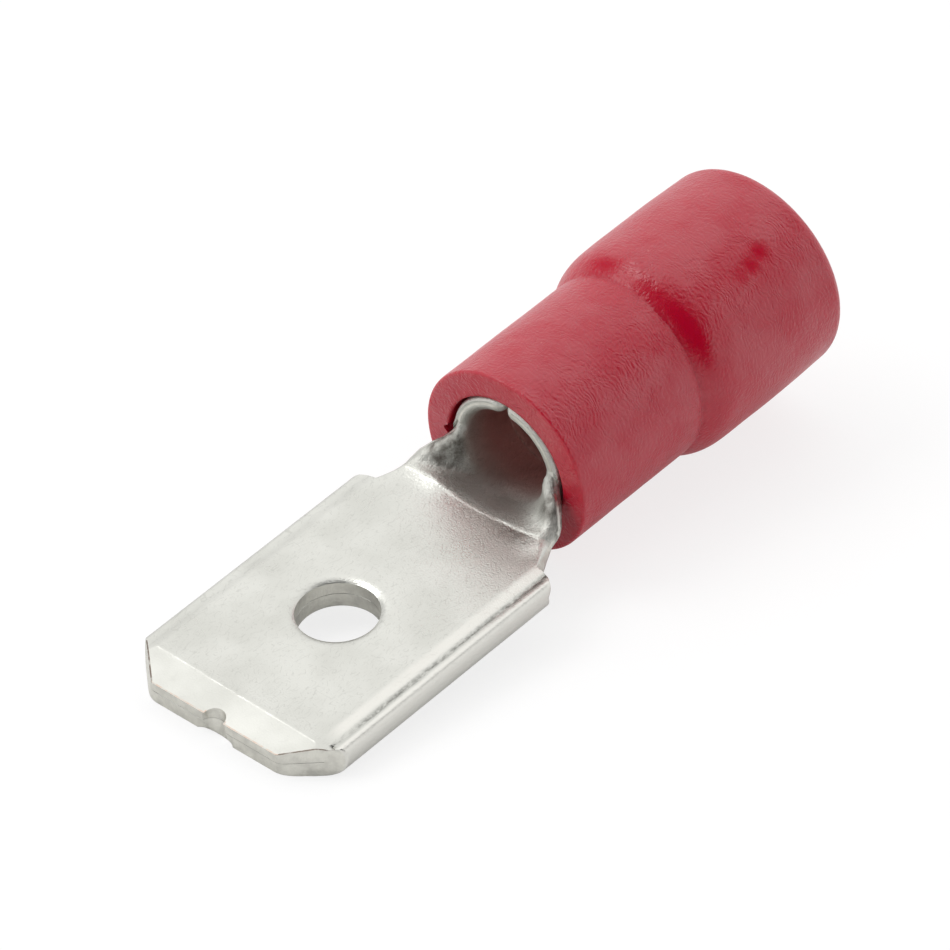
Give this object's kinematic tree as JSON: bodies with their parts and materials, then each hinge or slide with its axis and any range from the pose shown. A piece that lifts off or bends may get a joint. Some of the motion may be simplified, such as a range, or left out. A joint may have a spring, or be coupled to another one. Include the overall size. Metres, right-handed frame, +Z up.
{
  "type": "male spade terminal",
  "caption": "Insulated male spade terminal: a flat tinned tab with a detent hole, folded and rolled from one sheet, in a stepped red vinyl sleeve for crimping onto a wire.",
  "frame": {"origin": "bottom centre of the box, on the floor that the terminal rests on", "axes": "+X along the terminal from the tab's tip to the wire end, the terminal's own axis leaning 6 degrees up from it as it rests; +Y across the tab; +Z up"},
  "size_m": [0.0194, 0.0064, 0.0061],
  "materials": {
    "tinned_brass": "satin tin plate over brass",
    "red_vinyl": "semi-gloss soft vinyl with a fine grain"
  },
  "bodies": {
    "root": {"folded_terminal": "tinned_brass", "insulating_sleeve": "red_vinyl"}
  },
  "joints": []
}
